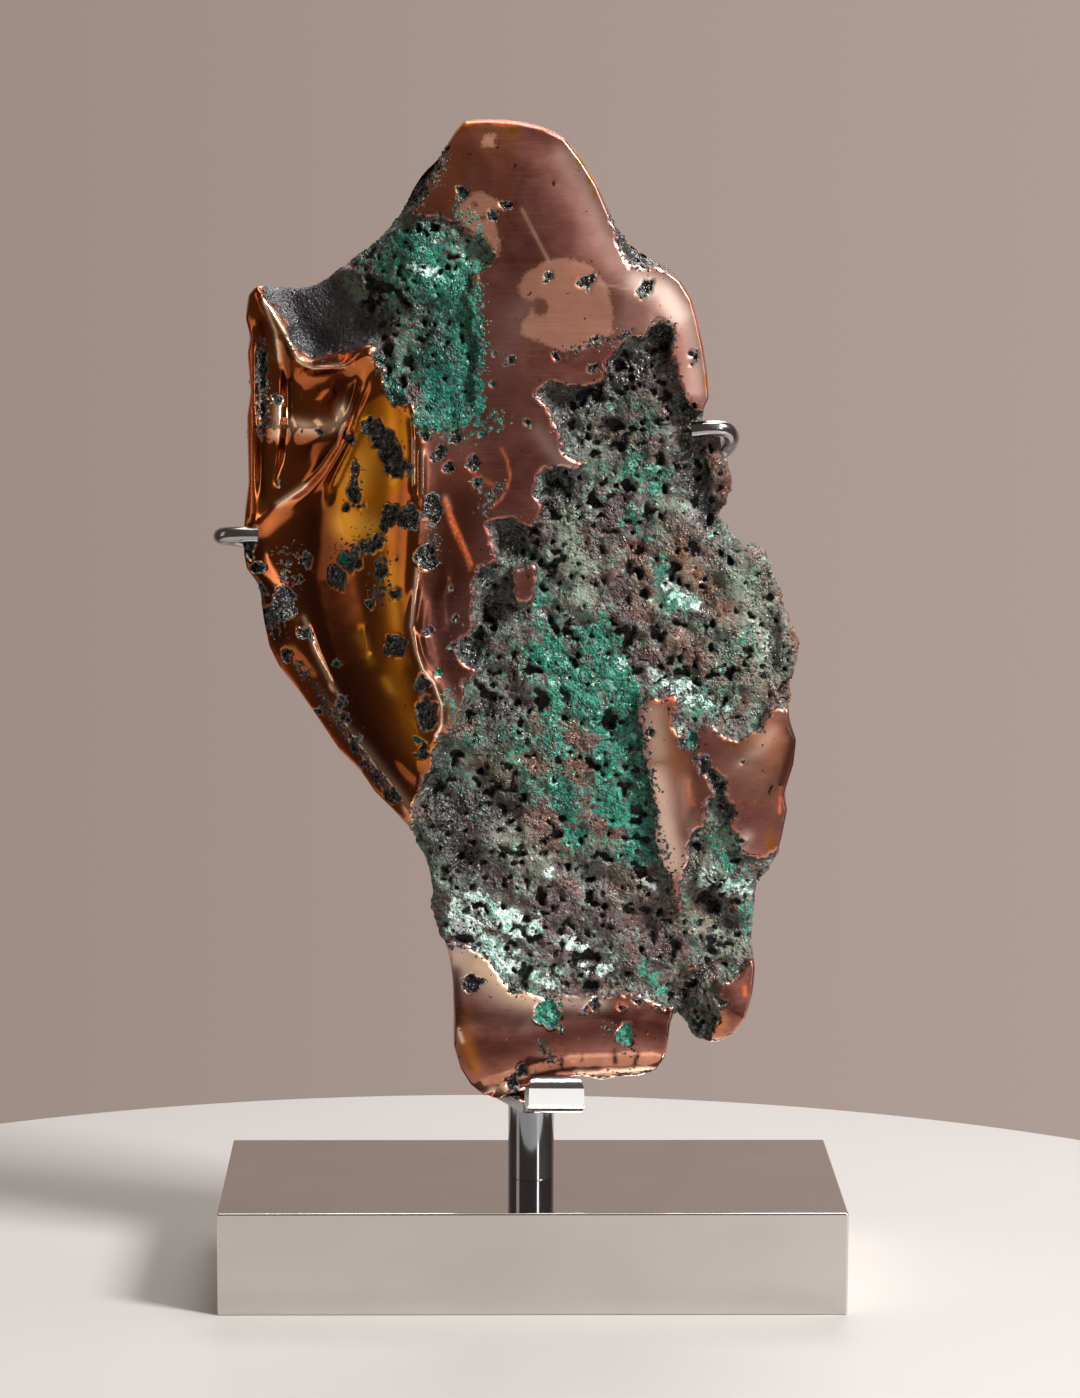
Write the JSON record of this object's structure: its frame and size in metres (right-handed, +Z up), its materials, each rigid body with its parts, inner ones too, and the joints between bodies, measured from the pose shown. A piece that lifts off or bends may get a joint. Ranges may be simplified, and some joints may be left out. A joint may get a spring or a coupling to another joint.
{
  "type": "native copper nugget",
  "caption": "Upright slab of native copper with polished faces, malachite and rough crust, held by a mirror-polished metal stand with a block base, post, cradle and prongs.",
  "frame": {"origin": "middle of the base block's underside, under the post", "axes": "+Z up, +X to the viewer's right, +Y away from the viewer"},
  "size_m": [0.2576, 0.127, 0.4782],
  "materials": {
    "native_copper": "polished copper faces among rough crust with green malachite",
    "polished_steel": "mirror polished"
  },
  "bodies": {
    "root": {"nugget": "native_copper", "stand_base": "polished_steel", "stand_post": "polished_steel", "cradle": "polished_steel", "back_spine": "polished_steel", "left_prong": "polished_steel", "right_prong": "polished_steel"}
  },
  "joints": []
}
